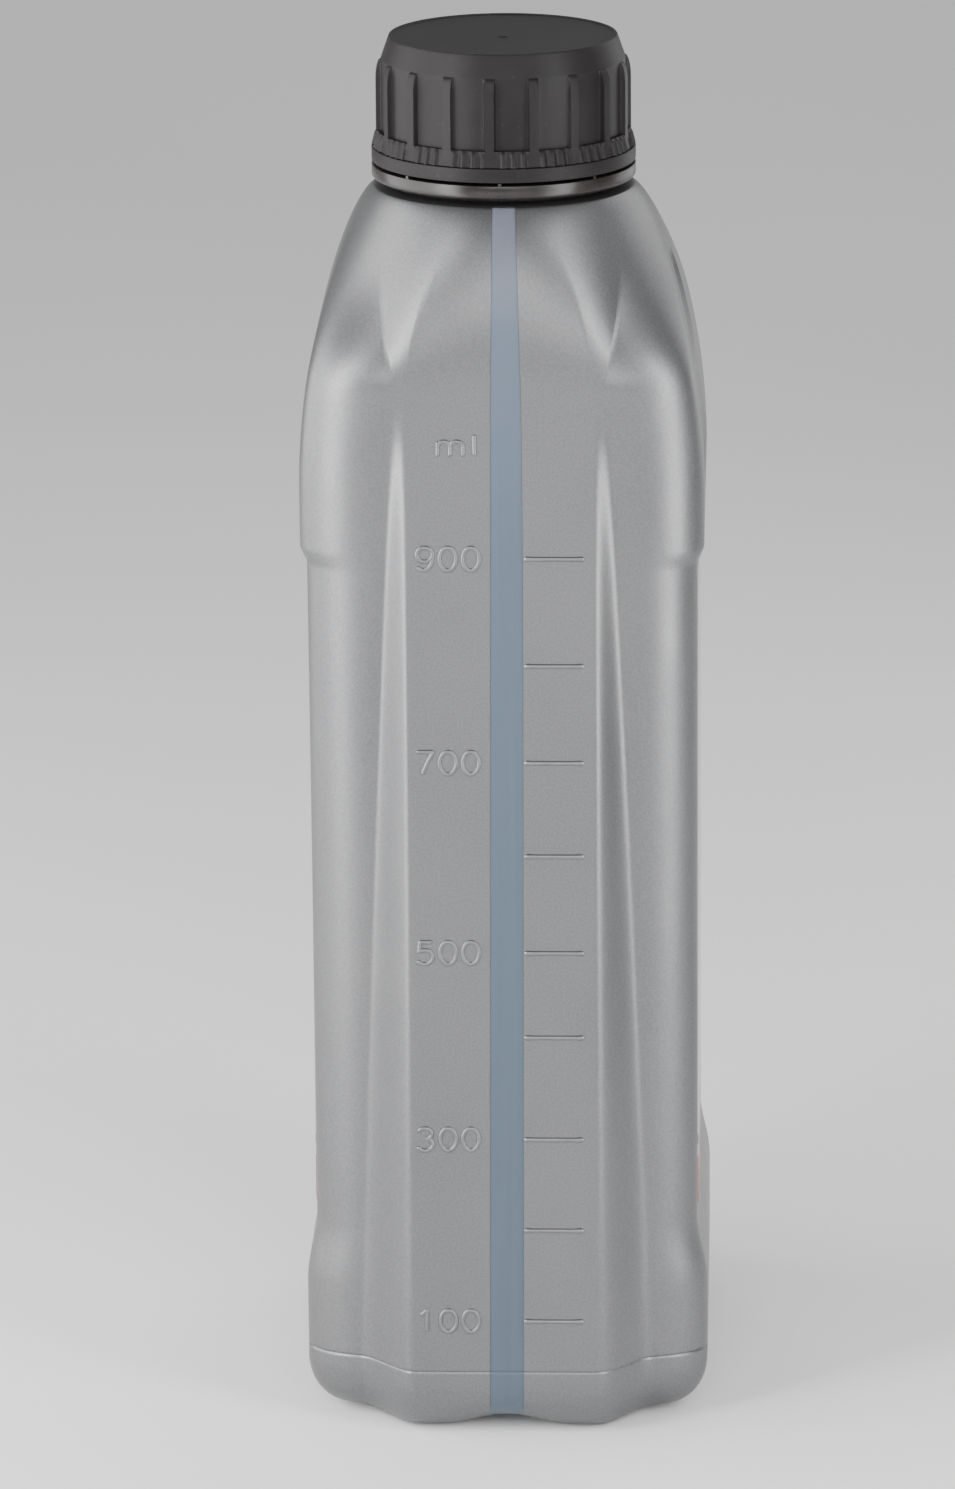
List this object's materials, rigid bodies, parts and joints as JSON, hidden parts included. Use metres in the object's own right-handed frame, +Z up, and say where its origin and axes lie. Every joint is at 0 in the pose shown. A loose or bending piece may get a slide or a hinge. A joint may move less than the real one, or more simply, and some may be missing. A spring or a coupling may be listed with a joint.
{
  "type": "transmission fluid bottle",
  "caption": "Slim rectangular one litre fluid bottle with a flat spine, a view strip and a raised level scale on its narrow side, recessed label faces and a ribbed screw cap.",
  "frame": {"origin": "middle of the body at the plane the bottle stands on", "axes": "+Z up, -Y towards the graduated narrow side, +X and -X out of the wide label faces; the neck axis stands 18 mm towards -Y"},
  "size_m": [0.0706, 0.1003, 0.2439],
  "materials": {
    "bottle_plastic": "satin silver grey with a fine moulded texture",
    "view_strip_plastic": "unpigmented blue-grey stripe of the same wall, cloudy",
    "band_plastic": "glossy charcoal",
    "liner_foam": "off-white foam",
    "cap_plastic": "satin charcoal",
    "front_label_film": "glossy printed film",
    "back_label_film": "glossy printed film"
  },
  "bodies": {
    "bottle": {"bottle": "bottle_plastic", "tamper_band": "band_plastic", "front_label": "front_label_film", "back_label": "back_label_film"},
    "liner": {"cap_liner": "liner_foam"},
    "cap": {"cap": "cap_plastic"}
  },
  "joints": [
    {"name": "cap_lift", "type": "slide", "parent": "bottle", "child": "liner", "axis": [0, 0, 1], "range_m": [0, 0.00736]},
    {"name": "cap_turn", "type": "hinge", "parent": "liner", "child": "cap", "pos_m": [0, -0.018, 0.23], "axis": [0, 0, 1], "range_deg": [0, 630]}
  ],
  "couplings": [
    {"joint": "cap_lift", "follows": "cap_turn", "m_per_rad": 0.00066845}
  ]
}
